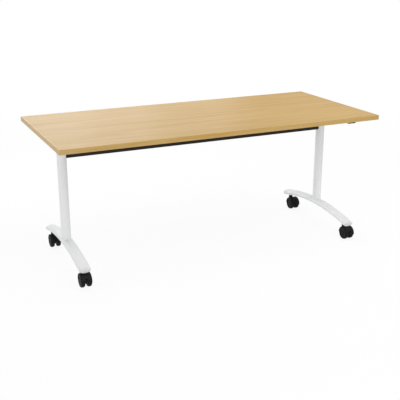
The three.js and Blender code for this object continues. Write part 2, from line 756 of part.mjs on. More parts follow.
addBoard();
addLeg("left", -columnX);
addLeg("right", columnX);
addPiece("cross_beam", beamTube(), "blackSteel");
addPiece("beam_saddle_right", beamSaddle(), "blackSteel");
addPiece("beam_saddle_left", beamSaddle().rotateZ(Math.PI), "blackSteel");
addPiece("release_rod", releaseRod(), "bareSteel");
const triggerX = columnX - armWidth / 2 - triggerInset;
addPiece("release_trigger_left", releaseTrigger(-triggerX), "blackPlastic");
addPiece("release_trigger_right", releaseTrigger(triggerX), "blackPlastic");
for (const [end, y] of [["front", -castorSpread / 2], ["back", castorSpread / 2]]) {
  addCastor(`${end}_left`, -columnX, y);
  addCastor(`${end}_right`, columnX, y);
}

console.log(`least gap between spring turns ${springSelfGap(new HelixAlongY()).toFixed(2)} mm`);

export default table;
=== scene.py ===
import json
import math

import bmesh
import bpy
from mathutils import Matrix, Vector


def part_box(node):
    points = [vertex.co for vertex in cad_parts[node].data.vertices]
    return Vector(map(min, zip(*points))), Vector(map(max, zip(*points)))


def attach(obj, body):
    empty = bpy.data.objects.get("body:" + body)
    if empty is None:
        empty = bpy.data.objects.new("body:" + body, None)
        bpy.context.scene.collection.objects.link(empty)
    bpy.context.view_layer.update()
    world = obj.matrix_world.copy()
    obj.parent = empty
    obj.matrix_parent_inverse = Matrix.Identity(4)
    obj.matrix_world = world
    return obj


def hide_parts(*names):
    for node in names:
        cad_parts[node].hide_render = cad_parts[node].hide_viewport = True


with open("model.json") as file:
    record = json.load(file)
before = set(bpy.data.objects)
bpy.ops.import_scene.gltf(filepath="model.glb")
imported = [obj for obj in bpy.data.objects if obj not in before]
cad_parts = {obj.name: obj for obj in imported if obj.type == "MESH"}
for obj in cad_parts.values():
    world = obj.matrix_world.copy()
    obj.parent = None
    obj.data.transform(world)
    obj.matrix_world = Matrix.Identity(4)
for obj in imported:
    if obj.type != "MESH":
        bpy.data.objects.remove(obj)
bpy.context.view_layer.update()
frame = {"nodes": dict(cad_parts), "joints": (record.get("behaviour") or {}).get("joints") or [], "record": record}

# Looks of the flip top training table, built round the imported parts.
# Sizes of pieces are in mm, and every mesh is scaled to metres when it becomes a piece.
scene = bpy.context.scene
scene.view_settings.view_transform = "Standard"
toMetres = 0.001
toMm = 1000.0
fullTurn = 2 * math.pi
white = (1.0, 1.0, 1.0)
sides = {"left": -1, "right": 1}
ends = {"front": -1, "back": 1}


def nodeBox(node):
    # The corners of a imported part, in mm.
    low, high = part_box(node)
    return low * toMm, high * toMm


def jointOf(name):
    return next(joint for joint in frame["joints"] if joint["name"] == name)


def jointPlace(name):
    return Vector(jointOf(name)["pos_m"]) * toMm


print("frame loaded,", len(frame["nodes"]), "parts")


# Material helpers

mixSockets = {"factor": 0, "first": 6, "second": 7, "result": 2}  # of a Mix node for colours
shaderSockets = (1, 2)  # of a Mix Shader node


def addNode(material, kind, **inputs):
    node = material.node_tree.nodes.new(kind)
    for key, value in inputs.items():
        node.inputs[key].default_value = value
    return node


def wire(material, source, target):
    material.node_tree.links.new(source, target)


def newFinish(name):
    material = bpy.data.materials.new(name)
    material.use_nodes = True
    material.node_tree.nodes.clear()
    shader = addNode(material, "ShaderNodeBsdfPrincipled")
    output = addNode(material, "ShaderNodeOutputMaterial")
    wire(material, shader.outputs["BSDF"], output.inputs["Surface"])
    return material, shader


def stretchedNoise(material, stretch, detail, rough, distortion=0.0):
    coords = addNode(material, "ShaderNodeTexCoord")
    mapping = addNode(material, "ShaderNodeMapping", Scale=stretch)
    noise = addNode(material, "ShaderNodeTexNoise", Scale=1.0, Detail=detail, Roughness=rough,
                    Distortion=distortion)
    wire(material, coords.outputs["Object"], mapping.inputs["Vector"])
    wire(material, mapping.outputs["Vector"], noise.inputs["Vector"])
    return noise.outputs["Fac"]


def ramp(material, factor, places, colours):
    node = addNode(material, "ShaderNodeValToRGB")
    elements = node.color_ramp.elements
    for place in places[1:-1]:
        elements.new(place)
    for element, place, colour in zip(elements, places, colours):
        element.position = place
        element.color = (*colour, 1.0)
    wire(material, factor, node.inputs["Fac"])
    return node.outputs["Color"]


def mixColours(material, blend, first, second):
    node = addNode(material, "ShaderNodeMix")
    node.data_type = "RGBA"
    node.blend_type = blend
    wire(material, first, node.inputs[mixSockets["first"]])
    wire(material, second, node.inputs[mixSockets["second"]])
    return node.inputs[mixSockets["factor"]], node.outputs[mixSockets["result"]]


def multiplied(material, first, second, share=1.0):
    factor, result = mixColours(material, "MULTIPLY", first, second)
    factor.default_value = share
    return result


def rangeOf(material, factor, low, high):
    node = addNode(material, "ShaderNodeMapRange")
    node.inputs["To Min"].default_value = low
    node.inputs["To Max"].default_value = high
    wire(material, factor, node.inputs["Value"])
    return node.outputs["Result"]


def finishSurface(material, shader, colour, relief, look):
    # The colour, and a fine relief that drives both the roughness and the bump.
    wire(material, colour, shader.inputs["Base Color"])
    wire(material, rangeOf(material, relief, *look["roughness"]), shader.inputs["Roughness"])
    bump = addNode(material, "ShaderNodeBump", Strength=look["bump"], Distance=look["bumpDepth"])
    wire(material, relief, bump.inputs["Height"])
    wire(material, bump.outputs["Normal"], shader.inputs["Normal"])


def shaded(colour, share):
    return tuple(c * share for c in colour)


# Oak sheet and bands, with a plain backing sheet under the board

oakLook = {
    "light": (0.574, 0.389, 0.165),
    "mid": (0.529, 0.343, 0.116),
    "dark": (0.478, 0.294, 0.075),
    "figure": {"stretch": (1.6, 42.0, 42.0), "detail": 5.0, "rough": 0.62, "distortion": 0.6},
    "figureStops": (0.30, 0.50, 0.72),
    "pores": {"stretch": (9.0, 420.0, 420.0), "detail": 2.0, "rough": 0.7},
    "poreTone": (0.90, 0.87, 0.83),
    "poreStops": (0.36, 0.50),
    "poreShare": 0.75,
    "plank": {"stretch": (1.1, 9.0, 9.0), "detail": 2.0, "rough": 0.5},
    "plankTone": (0.96, 0.95, 0.93),
    "plankStops": (0.35, 0.65),
    "roughness": (0.34, 0.42),
    "bump": 0.10,
    "bumpDepth": 0.0002,
}
oakSheets = {
    "oak_laminate": {"tint": white, "gloss": 0.05, "band": False},
    "oak_edge_band": {"tint": (1.09, 1.11, 1.20), "gloss": 0.25, "band": True},
}
backingLook = {
    "colour": (0.60, 0.595, 0.585),
    "shade": 0.97,
    "speckle": {"stretch": (40.0, 40.0, 40.0), "detail": 3.0, "rough": 0.6},
    "stops": (0.35, 0.65),
    "thickness": 1.5,
}


def grain(material, key, band):
    # Grain runs along X on the board, and round the board on its bands.
    pattern = dict(oakLook[key])
    if band:
        along, _, up = pattern["stretch"]
        pattern["stretch"] = (along, along, up)
    return stretchedNoise(material, **pattern)


def backedBelow(material, wood):
    coords = addNode(material, "ShaderNodeTexCoord")
    axes = addNode(material, "ShaderNodeSeparateXYZ")
    below = addNode(material, "ShaderNodeMath")
    below.operation = "LESS_THAN"
    boardLow = nodeBox("table_top")[0]
    below.inputs[1].default_value = (boardLow.z + backingLook["thickness"]) * toMetres
    wire(material, coords.outputs["Object"], axes.inputs["Vector"])
    wire(material, axes.outputs["Z"], below.inputs[0])
    speckle = stretchedNoise(material, **backingLook["speckle"])
    tones = [shaded(backingLook["colour"], backingLook["shade"]), backingLook["colour"]]
    backing = ramp(material, speckle, backingLook["stops"], tones)
    factor, result = mixColours(material, "MIX", wood, backing)
    wire(material, below.outputs["Value"], factor)
    return result


def oakFinish(name, sheet):
    material, shader = newFinish(name)
    figure, pores, plank = [grain(material, key, sheet["band"]) for key in ("figure", "pores", "plank")]
    tones = []
    for key in ("dark", "mid", "light"):
        tones.append(tuple(c * t for c, t in zip(oakLook[key], sheet["tint"])))
    body = ramp(material, figure, oakLook["figureStops"], tones)
    flecks = ramp(material, pores, oakLook["poreStops"], [oakLook["poreTone"], white])
    broad = ramp(material, plank, oakLook["plankStops"], [oakLook["plankTone"], white])
    wood = multiplied(material, multiplied(material, body, flecks, oakLook["poreShare"]), broad)
    if not sheet["band"]:
        wood = backedBelow(material, wood)
    finishSurface(material, shader, wood, pores, oakLook)
    shader.inputs["Specular IOR Level"].default_value = sheet["gloss"]
    return material


# Painted, moulded and bare surfaces

coatLooks = {
    "white_steel": {
        "colour": (0.88, 0.885, 0.89), "spread": 0.012, "roughness": (0.46, 0.58),
        "peel": 700.0, "bump": 0.06, "gloss": 0.35,
    },
    "white_plastic": {
        "colour": (0.83, 0.83, 0.825), "spread": 0.015, "roughness": (0.42, 0.52),
        "peel": 900.0, "bump": 0.12, "gloss": 0.5,
    },
    "black_steel": {
        "colour": (0.014, 0.010, 0.006), "spread": 0.15, "roughness": (0.42, 0.55),
        "peel": 900.0, "bump": 0.18, "gloss": 0.2,
    },
    "black_casting": {
        "colour": (0.016, 0.014, 0.011), "spread": 0.15, "roughness": (0.48, 0.62),
        "peel": 500.0, "bump": 0.30, "gloss": 0.2,
    },
    "black_plastic": {
        "colour": (0.0065, 0.0065, 0.0065), "spread": 0.15, "roughness": (0.38, 0.52),
        "peel": 1200.0, "bump": 0.22, "gloss": 0.12,
    },
    "castor_tread": {
        "colour": (0.0075, 0.0075, 0.0075), "spread": 0.15, "roughness": (0.46, 0.60),
        "peel": 800.0, "bump": 0.20, "gloss": 0.12,
    },
    "black_rubber": {
        "colour": (0.012, 0.012, 0.012), "spread": 0.20, "roughness": (0.70, 0.85),
        "peel": 600.0, "bump": 0.25, "gloss": 0.2,
    },
}
coatCommon = {
    "mottle": {"stretch": (3.0, 3.0, 3.0), "detail": 3.0, "rough": 0.55},
    "mottleStops": (0.35, 0.65),
    "peelNoise": {"detail": 2.0, "rough": 0.5},
    "bumpDepth": 0.0002,
}
steelLook = {
    "colour": (0.46, 0.47, 0.48),
    "shade": 0.8,
    "lines": {"stretch": (30.0, 900.0, 900.0), "detail": 3.0, "rough": 0.6},
    "stops": (0.3, 0.7),
    "roughness": (0.28, 0.42),
    "bump": 0.15,
    "bumpDepth": 0.0001,
}


def coatedFinish(name, look):
    # A sprayed or moulded surface: slow mottling in the colour, fine peel in the relief.
    material, shader = newFinish(name)
    slow = stretchedNoise(material, **coatCommon["mottle"])
    fine = stretchedNoise(material, (look["peel"],) * 3, **coatCommon["peelNoise"])
    tones = [shaded(look["colour"], 1 + way * look["spread"]) for way in (-1, 1)]
    colour = ramp(material, slow, coatCommon["mottleStops"], tones)
    finishSurface(material, shader, colour, fine, {**coatCommon, **look})
    shader.inputs["Specular IOR Level"].default_value = look["gloss"]
    return material


def brushedFinish(name):
    material, shader = newFinish(name)
    lines = stretchedNoise(material, **steelLook["lines"])
    tones = [shaded(steelLook["colour"], steelLook["shade"]), steelLook["colour"]]
    finishSurface(material, shader, ramp(material, lines, steelLook["stops"], tones), lines, steelLook)
    shader.inputs["Metallic"].default_value = 1.0
    return material


finishes = {name: oakFinish(name, sheet) for name, sheet in oakSheets.items()}
finishes.update({name: coatedFinish(name, look) for name, look in coatLooks.items()})
finishes["bare_steel"] = brushedFinish("bare_steel")
print("finishes made,", len(finishes))


# Mesh helpers, all in mm

meshCare = {
    "merge": 0.002,  # points closer than this become one
    "copyMerge": 0.01,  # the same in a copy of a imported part
    "flatAngle": 0.02,  # faces that meet at less become one flat face
    "rimAngle": 1.0,  # edges at the ends of a bar
    "easeAngle": 0.65,  # edges that are eased
    "creaseAngle": 0.75,  # edges that are shaded as sharp
    "easeSegments": 2,
    "easeRoom": 3,  # easing is held back where an edge is shorter than this many widths
}


def mergePoints(bm):
    bmesh.ops.remove_doubles(bm, verts=bm.verts, dist=meshCare["merge"])


def roundEdges(bm, edges, width, segments, heldBack=False):
    bmesh.ops.bevel(bm, geom=edges, offset=width, segments=segments, profile=0.5,
                    affect="EDGES", clamp_overlap=heldBack, material=-1)


def edgesOf(verts):
    # Each edge once, in an order that is the same in every run.
    return list(dict.fromkeys(edge for vert in verts for edge in vert.link_edges))


def mergeFlats(bm):
    bmesh.ops.dissolve_limit(bm, angle_limit=meshCare["flatAngle"], verts=bm.verts, edges=bm.edges)


def drawLine(bm, points, closed):
    verts = [bm.verts.new(point) for point in points]
    edges = [bm.edges.new(pair) for pair in zip(verts, verts[1:])]
    if closed:
        edges.append(bm.edges.new((verts[-1], verts[0])))
    return verts, edges


def turnProfile(bm, points, centre, axis, steps, closed=False):
    # Turns a profile all the way round.
    verts, edges = drawLine(bm, points, closed)
    bmesh.ops.spin(bm, geom=verts + edges, cent=centre, axis=axis, angle=fullTurn,
                   steps=steps, use_merge=True, use_duplicate=False)
    mergePoints(bm)


def sweepRing(bm, verts, edges, centre, axis, angle, steps, climb=(0, 0, 0)):
    # Turns a closed ring part of the way round, or up a coil, and closes both ends.
    bmesh.ops.contextual_create(bm, geom=edges)
    made = bmesh.ops.spin(bm, geom=verts + edges, cent=centre, axis=axis, dvec=climb, angle=angle,
                          steps=steps, use_merge=False, use_duplicate=False)
    last = [g for g in made["geom_last"] if isinstance(g, bmesh.types.BMEdge)]
    bmesh.ops.contextual_create(bm, geom=last)
    return last


def standing(point, direction):
    # Takes a shape that stands up Z at the origin to a point, and along a direction.
    turn = Vector((0, 0, 1)).rotation_difference(Vector(direction).normalized())
    return Matrix.Translation(point) @ turn.to_matrix().to_4x4()


def addBar(bm, diameter, start, end, segments, ease=0.0):
    # A round bar between two points, with its rims eased.
    start, end = Vector(start), Vector(end)
    run = end - start
    made = bmesh.ops.create_cone(bm, cap_ends=True, segments=segments, radius1=diameter / 2,
                                 radius2=diameter / 2, depth=run.length,
                                 matrix=standing((start + end) / 2, run))
    if ease:
        rims = [e for e in edgesOf(made["verts"]) if e.calc_face_angle(0) > meshCare["rimAngle"]]
        roundEdges(bm, rims, ease, meshCare["easeSegments"])


def addBlock(bm, low, high):
    low, high = Vector(low), Vector(high)
    place = Matrix.Translation((low + high) / 2) @ Matrix.Diagonal((*(high - low), 1.0))
    bmesh.ops.create_cube(bm, size=1.0, matrix=place)


def softenEdges(bm, width):
    sharp = [e for e in bm.edges if e.is_manifold and e.calc_face_angle(0) > meshCare["easeAngle"]]
    crowded = min(e.calc_length() for e in bm.edges) < meshCare["easeRoom"] * width
    roundEdges(bm, sharp, width, meshCare["easeSegments"], crowded)


def copyNode(node):
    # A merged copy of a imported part, with its flat faces made whole.
    bm = bmesh.new()
    bm.from_mesh(frame["nodes"][node].data)
    bmesh.ops.scale(bm, vec=(toMm,) * 3, verts=bm.verts)
    bmesh.ops.remove_doubles(bm, verts=bm.verts, dist=meshCare["copyMerge"])
    mergeFlats(bm)
    return bm


def makePiece(name, bm, slot, body, nodes=(), crease=meshCare["creaseAngle"]):
    mergePoints(bm)
    bmesh.ops.recalc_face_normals(bm, faces=bm.faces)
    bmesh.ops.scale(bm, vec=(toMetres,) * 3, verts=bm.verts)
    for face in bm.faces:
        face.smooth = True
    for edge in bm.edges:
        edge.smooth = edge.calc_face_angle(0) < crease
    mesh = bpy.data.meshes.new(name)
    bm.to_mesh(mesh)
    bm.free()
    mesh.materials.append(finishes[slot])
    piece = bpy.data.objects.new(name, mesh)
    scene.collection.objects.link(piece)
    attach(piece, body)
    if nodes:
        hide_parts(*nodes)
    normals = piece.modifiers.new("normals", "WEIGHTED_NORMAL")
    normals.keep_sharp = True


def dressCopy(name, node, slot, body, ease, crease=meshCare["creaseAngle"]):
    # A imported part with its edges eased.
    bm = copyNode(node)
    softenEdges(bm, ease)
    makePiece(name, bm, slot, body, [node], crease)


def combine(first, second, operation):
    # Joins or cuts one mesh with another, and gives back the result.
    objects = []
    for bm in (first, second):
        bmesh.ops.recalc_face_normals(bm, faces=bm.faces)
        mesh = bpy.data.meshes.new("work")
        bm.to_mesh(mesh)
        bm.free()
        objects.append(bpy.data.objects.new("work", mesh))
        scene.collection.objects.link(objects[-1])
    cutter = objects[0].modifiers.new("cut", "BOOLEAN")
    cutter.operation = operation
    cutter.solver = "EXACT"
    cutter.object = objects[1]
    shown = objects[0].evaluated_get(bpy.context.evaluated_depsgraph_get())
    result = bmesh.new()
    result.from_mesh(shown.to_mesh())
    shown.to_mesh_clear()
    for made in objects:
        mesh = made.data
        bpy.data.objects.remove(made)
        bpy.data.meshes.remove(mesh)
    return result


# Edge bands

bandLook = {"ease": 1.0, "segments": 4}
bandFaces = {"front": (1, -1), "back": (1, 1), "left": (0, -1), "right": (0, 1)}  # axis, and way along it


def makeBand(place):
    low, high = nodeBox("edge_band_" + place)
    middle = (low + high) / 2
    axis, way = bandFaces[place]
    bm = bmesh.new()
    addBlock(bm, low, high)
    outer = [e for e in bm.edges if all(way * (v.co - middle)[axis] > 0 for v in e.verts)]
    roundEdges(bm, outer, bandLook["ease"], bandLook["segments"])
    makePiece("band_" + place, bm, "oak_edge_band", "top", ["edge_band_" + place])


for place in bandFaces:
    makeBand(place)
print("board banded")


# Columns, on bowed oval feet

columnLow, columnHigh = nodeBox("column_right")
columnX = (columnLow.x + columnHigh.x) / 2
columnRadius = (columnHigh.x - columnLow.x) / 2
footLook = {
    "crown": 131.5,  # middle of the section at the column
    "end": 91.0,  # the same at the ends
    "half": 337.0,
    "width": 62.0,
    "thickness": 31.5,
    "segments": 48,
    "steps": 64,
    "seatDiameter": 24.0,
    "seatZ": 81.5,
    "seatHeight": 16.0,
    "seatSteps": 40,
    "seatEase": 0.8,
}
footRise = footLook["crown"] - footLook["end"]
archRadius = (footLook["half"] ** 2 + footRise ** 2) / (2 * footRise)
archCentre = footLook["crown"] - archRadius
archAngle = math.asin(footLook["half"] / archRadius)


def ovalRing(bm, x, angle):
    # The foot's oval outline, stood at an angle along its arc. Positive angles go to the front.
    made = bmesh.ops.create_circle(bm, cap_ends=False, radius=1.0, segments=footLook["segments"])
    upright = Matrix.Rotation(math.pi / 2, 4, "X")
    oval = Matrix.Diagonal((footLook["width"] / 2, 1.0, footLook["thickness"] / 2, 1.0))
    centre = Vector((x, 0, archCentre))
    out = Matrix.Translation((0, 0, archRadius))
    turn = Matrix.Translation(centre) @ Matrix.Rotation(angle, 4, "X") @ out
    bmesh.ops.transform(bm, matrix=turn @ oval @ upright, verts=made["verts"])
    return made["verts"], edgesOf(made["verts"]), centre


def footTopAt(x, y):
    # Height of the foot's upper face, at a place measured from the column's middle.
    height = footLook["thickness"] / 2 * math.sqrt(1 - (2 * x / footLook["width"]) ** 2)
    return archCentre + math.sqrt((archRadius + height) ** 2 - y ** 2)


def makeFoot(side, x):
    bm = bmesh.new()
    half = archAngle - (capLook["thickness"] + capLook["gap"]) / archRadius
    verts, edges, centre = ovalRing(bm, x, half)
    sweepRing(bm, verts, edges, centre, (1, 0, 0), -2 * half, footLook["steps"])
    for end in ends:
        y = jointPlace("swivel_%s_%s" % (end, side)).y
        low = footLook["seatZ"]
        high = low + footLook["seatHeight"]
        addBar(bm, footLook["seatDiameter"], (x, y, low), (x, y, high),
               footLook["seatSteps"], footLook["seatEase"])
    makePiece("foot_tube_" + side, bm, "white_steel", "base", ["foot_" + side])


columnLook = {"steps": 64}


def makeColumn(side, x):
    bm = bmesh.new()
    addBar(bm, 2 * columnRadius, (x, 0, footLook["crown"]), (x, 0, columnHigh.z), columnLook["steps"])
    makePiece("column_tube_" + side, bm, "white_steel", "base", ["column_" + side])


weldLook = {
    "out": 3.0,
    "up": 2.6,
    "root": 1.0,  # how far it goes into the column and the foot
    "lip": 0.2,
    "sag": (0.3, 0.42),  # shares of out and up at the hollow of the bead
    "toe": 0.1,
}


def makeWeld(side, x):
    # A fillet of weld round the column, laid on the crown of the foot.
    inside = columnRadius - weldLook["root"]
    outside = columnRadius + weldLook["out"]
    sagOut, sagUp = weldLook["sag"]
    points = [
        (inside, 0, -weldLook["root"]),
        (inside, 0, weldLook["up"]),
        (columnRadius + weldLook["lip"], 0, weldLook["up"]),
        (columnRadius + sagOut * weldLook["out"], 0, sagUp * weldLook["up"]),
        (outside, 0, weldLook["toe"]),
        (outside, 0, -weldLook["root"]),
    ]
    bm = bmesh.new()
    turnProfile(bm, points, (0, 0, 0), (0, 0, 1), columnLook["steps"], closed=True)
    for vert in bm.verts:
        vert.co.z += footTopAt(vert.co.x, vert.co.y)
    bmesh.ops.translate(bm, vec=(x, 0, 0), verts=bm.verts)
    makePiece("weld_" + side, bm, "white_steel", "base")


capLook = {
    "thickness": 4.0,
    "gap": 0.3,
    "ease": 1.4,
    "segments": 4,
    "dome": ((3.0, 0.25), (2.0, 0.15)),  # step in from the rim, and rise
}


def makeCap(side, x, end, way):
    bm = bmesh.new()
    thickness = capLook["thickness"] / archRadius
    verts, edges, centre = ovalRing(bm, x, -way * (archAngle - thickness))
    rim = sweepRing(bm, verts, edges, centre, (1, 0, 0), -way * thickness, 1)
    roundEdges(bm, rim, capLook["ease"], capLook["segments"])
    bmesh.ops.recalc_face_normals(bm, faces=bm.faces)
    plates = sorted(bm.faces, key=lambda face: face.calc_area())[-2:]
    outer = max(plates, key=lambda face: way * face.calc_center_median().y)
    for step, rise in capLook["dome"]:
        bmesh.ops.inset_region(bm, faces=[outer], thickness=step, depth=rise)
    makePiece("foot_end_%s_%s" % (side, end), bm, "white_plastic", "base",
              ["foot_cap_%s_%s" % (side, end)])


for side, sign in sides.items():
    makeFoot(side, sign * columnX)
    makeColumn(side, sign * columnX)
    makeWeld(side, sign * columnX)
    for end, way in ends.items():
        makeCap(side, sign * columnX, end, way)
print("legs made")


# Beam, with ends that close against the columns

beamLook = {
    "rounding": 3.0,
    "segments": 4,
    "gap": 0.3,
    "endShort": 5.0,  # an end stops this far short of the column's middle before it is cut
    "overcut": 20.0,
}


def roundedBeam(low, high):
    bm = bmesh.new()
    addBlock(bm, low, high)
    along = [e for e in bm.edges if e.verts[0].co.x != e.verts[1].co.x]
    roundEdges(bm, along, beamLook["rounding"], beamLook["segments"])
    return bm


def makeBeamEnd(side, sign, low, high):
    x = sign * columnX
    inner = sign * (high.x + beamLook["gap"])
    outer = sign * (columnX - beamLook["endShort"])
    block = roundedBeam((min(inner, outer), low.y, low.z), (max(inner, outer), high.y, high.z))
    column = bmesh.new()
    addBar(column, 2 * (columnRadius + beamLook["gap"]), (x, 0, low.z - beamLook["overcut"]),
           (x, 0, high.z + beamLook["overcut"]), columnLook["steps"])
    end = combine(block, column, "DIFFERENCE")
    makePiece("beam_end_" + side, end, "black_casting", "base", ["beam_saddle_" + side])


beamLow, beamHigh = nodeBox("cross_beam")
makePiece("beam", roundedBeam(beamLow, beamHigh), "black_steel", "base", ["cross_beam"])
for side, sign in sides.items():
    makeBeamEnd(side, sign, beamLow, beamHigh)
print("beam made")


# Tilting gear

pivot = jointPlace("top_flip")
armLow, armHigh = nodeBox("tilt_arm_right")
guideHigh = nodeBox("latch_guide_right")[1]
gearLook = {
    "head": {"ease": 0.8},
    "arm": {"ease": 0.6, "crease": 0.9},  # its bends are shaded as round
    "guide": {"ease": 0.7},
    "bolt": {"ease": 0.5},
    "trigger": {"ease": 0.8},
    "pad": {"ease": 0.4},
}

headLook = {
    # shares of the radius and of the height
    "dome": ((0.0, 0.0), (1.0, 0.0), (1.0, 0.25), (0.9, 0.62), (0.68, 0.9), (0.42, 1.0)),
    "socket": 0.55,  # depth, a share of the height
    "steps": 36,
}


def addButtonHead(bm, foot, direction, diameter, height):
    # A domed head with a round socket, standing on a point.
    head = bmesh.new()
    points = [(out * diameter / 2, 0, up * height) for out, up in headLook["dome"]]
    turnProfile(head, points, (0, 0, 0), (0, 0, 1), headLook["steps"])
    rim = [e for e in head.edges if e.is_boundary]
    wall = bmesh.ops.extrude_edge_only(head, edges=rim)["geom"]
    lower = [g for g in wall if isinstance(g, bmesh.types.BMVert)]
    bmesh.ops.translate(head, vec=(0, 0, -headLook["socket"] * height), verts=lower)
    floor = [g for g in wall if isinstance(g, bmesh.types.BMEdge) and g.is_boundary]
    bmesh.ops.contextual_create(head, geom=floor)
    bmesh.ops.recalc_face_normals(head, faces=head.faces)
    bmesh.ops.transform(head, matrix=standing(foot, direction), verts=head.verts)
    mesh = bpy.data.meshes.new("work")
    head.to_mesh(mesh)
    head.free()
    bm.from_mesh(mesh)
    bpy.data.meshes.remove(mesh)


pinLook = {
    "diameter": 12.0,
    "ease": 0.8,
    "steps": 32,
    "gap": 0.3,
    "headDiameter": 20.0,
    "headHeight": 4.0,
    "nutSides": 6,
    "nutWidth": 19.0,
    "nutThickness": 6.0,
    "nutEase": 0.7,
    "proud": 1.5,  # end of the pin beyond its nut
}


def makePin(side, x):
    y, z = pivot.y, pivot.z
    face = (armHigh.x - armLow.x) / 2 + pinLook["gap"]
    nutEnd = x - face - pinLook["nutThickness"]
    bm = bmesh.new()
    addBar(bm, pinLook["diameter"], (nutEnd - pinLook["proud"], y, z), (x + face, y, z),
           pinLook["steps"], pinLook["ease"])
    addBar(bm, pinLook["nutWidth"], (nutEnd, y, z), (x - face, y, z),
           pinLook["nutSides"], pinLook["nutEase"])
    addButtonHead(bm, (x + face, y, z), (1, 0, 0), pinLook["headDiameter"], pinLook["headHeight"])
    makePiece("pin_" + side, bm, "bare_steel", "top", ["pivot_pin_" + side])


screwLook = {
    "armWall": 2.5,
    "diameter": 9.0,
    "height": 2.6,
    "rows": (-285.0, -190.0, 95.0, 190.0, 285.0),
    "guideWall": 3.0,
    "guideDiameter": 6.0,
    "guideHeight": 2.08,
    "guideX": 10.0,
    "guideY": -50.0,
}


def makeArmScrews(side, x):
    down = (0, 0, -1)
    armZ = armHigh.z - screwLook["armWall"]
    guideZ = guideHigh.z - screwLook["guideWall"]
    bm = bmesh.new()
    for y in screwLook["rows"]:
        addButtonHead(bm, (x, y, armZ), down, screwLook["diameter"], screwLook["height"])
    for way in (-1, 1):
        foot = (x + way * screwLook["guideX"], screwLook["guideY"], guideZ)
        addButtonHead(bm, foot, down, screwLook["guideDiameter"], screwLook["guideHeight"])
    makePiece("arm_screws_" + side, bm, "bare_steel", "top")


springLook = {"wire": 1.4, "turns": 5, "mean": 13.2, "stepsPerTurn": 24, "wireSegments": 10}


def makeSpring(side):
    low, high = nodeBox("latch_spring_" + side)
    middle = (low + high) / 2
    wireRadius = springLook["wire"] / 2
    start = (middle.x + springLook["mean"] / 2, low.y + wireRadius, middle.z)
    steps = springLook["turns"] * springLook["stepsPerTurn"]
    climb = (high.y - low.y - springLook["wire"]) / steps
    bm = bmesh.new()
    made = bmesh.ops.create_circle(bm, cap_ends=False, radius=wireRadius,
                                   segments=springLook["wireSegments"],
                                   matrix=Matrix.Translation(start))
    sweepRing(bm, made["verts"], edgesOf(made["verts"]), (middle.x, 0, middle.z), (0, -1, 0),
              fullTurn * springLook["turns"], steps, (0, climb, 0))
    makePiece("spring_" + side, bm, "bare_steel", "top", ["latch_spring_" + side])


rodLook = {
    "diameter": 10.0,
    "ease": 1.0,
    "steps": 32,
    "hubDiameter": 13.0,
    "hubEase": 0.6,
    "fingerLength": 14.0,
    "fingerWidth": 4.0,
    "fingerThickness": 8.0,
    "fingerInset": 0.02,  # keeps the finger's cheeks inside its hub and tip
    "tipDiameter": 6.0,
    "tipSteps": 24,
}


def addFinger(bm, x):
    # The hub, cheek and round tip that drive a latch bolt.
    half = rodLook["fingerThickness"] / 2
    wide = rodLook["fingerWidth"] / 2
    reach = rodLook["fingerLength"]
    cheek = half - rodLook["fingerInset"]
    addBar(bm, rodLook["hubDiameter"], (x - half, 0, 0), (x + half, 0, 0),
           rodLook["steps"], rodLook["hubEase"])
    addBlock(bm, (x - cheek, -wide, -reach), (x + cheek, wide, 0))
    addBar(bm, rodLook["tipDiameter"], (x - half, 0, -reach), (x + half, 0, -reach),
           rodLook["tipSteps"], rodLook["hubEase"])


def makeRod():
    low, high = nodeBox("release_rod")
    bm = bmesh.new()
    addBar(bm, rodLook["diameter"], (low.x, 0, 0), (high.x, 0, 0), rodLook["steps"], rodLook["ease"])
    for sign in sides.values():
        addFinger(bm, sign * columnX)
    swing = math.radians(jointOf("release_turn")["range_deg"][1]) / 2  # to each side of upright
    turn = Matrix.Translation(jointPlace("release_turn")) @ Matrix.Rotation(-swing, 4, "X")
    bmesh.ops.transform(bm, matrix=turn, verts=bm.verts)
    makePiece("rod", bm, "bare_steel", "release", ["release_rod"])


for side, sign in sides.items():
    dressCopy("head_" + side, "column_head_" + side, "black_casting", "base", **gearLook["head"])
    dressCopy("arm_" + side, "tilt_arm_" + side, "black_steel", "top", **gearLook["arm"])
    dressCopy("guide_" + side, "latch_guide_" + side, "black_steel", "top", **gearLook["guide"])
    dressCopy("bolt_bar_" + side, "latch_bolt_" + side, "bare_steel", "bolt_" + side, **gearLook["bolt"])
    dressCopy("trigger_" + side, "release_trigger_" + side, "black_plastic", "release",
              **gearLook["trigger"])
    dressCopy("pad_" + side, "rest_pad_" + side, "black_rubber", "base", **gearLook["pad"])
    makePin(side, sign * columnX)
    makeArmScrews(side, sign * columnX)
    makeSpring(side)
makeRod()
print("tilting gear made")


# Castors, whose hoods are all one form

castorStem = jointPlace("swivel_front_right")
castorAxle = jointPlace("roll_front_right_right")
leverPivot = jointPlace("brake_press_front_right")
axleCentre = Vector((0, castorAxle.y - castorStem.y, castorAxle.z))  # with the stem at the origin
wheelLow, wheelHigh = nodeBox("castor_front_right_wheel_right")
leverLook = {"ease": 0.5}


def arcPoints(centre, radius, start, end, count):
    # Points of a small arc in (place along the axle, distance from it).
    for i in range(count + 1):
        angle = math.radians(start + (end - start) * i / count)
        yield centre[0] + radius * math.cos(angle), centre[1] + radius * math.sin(angle)


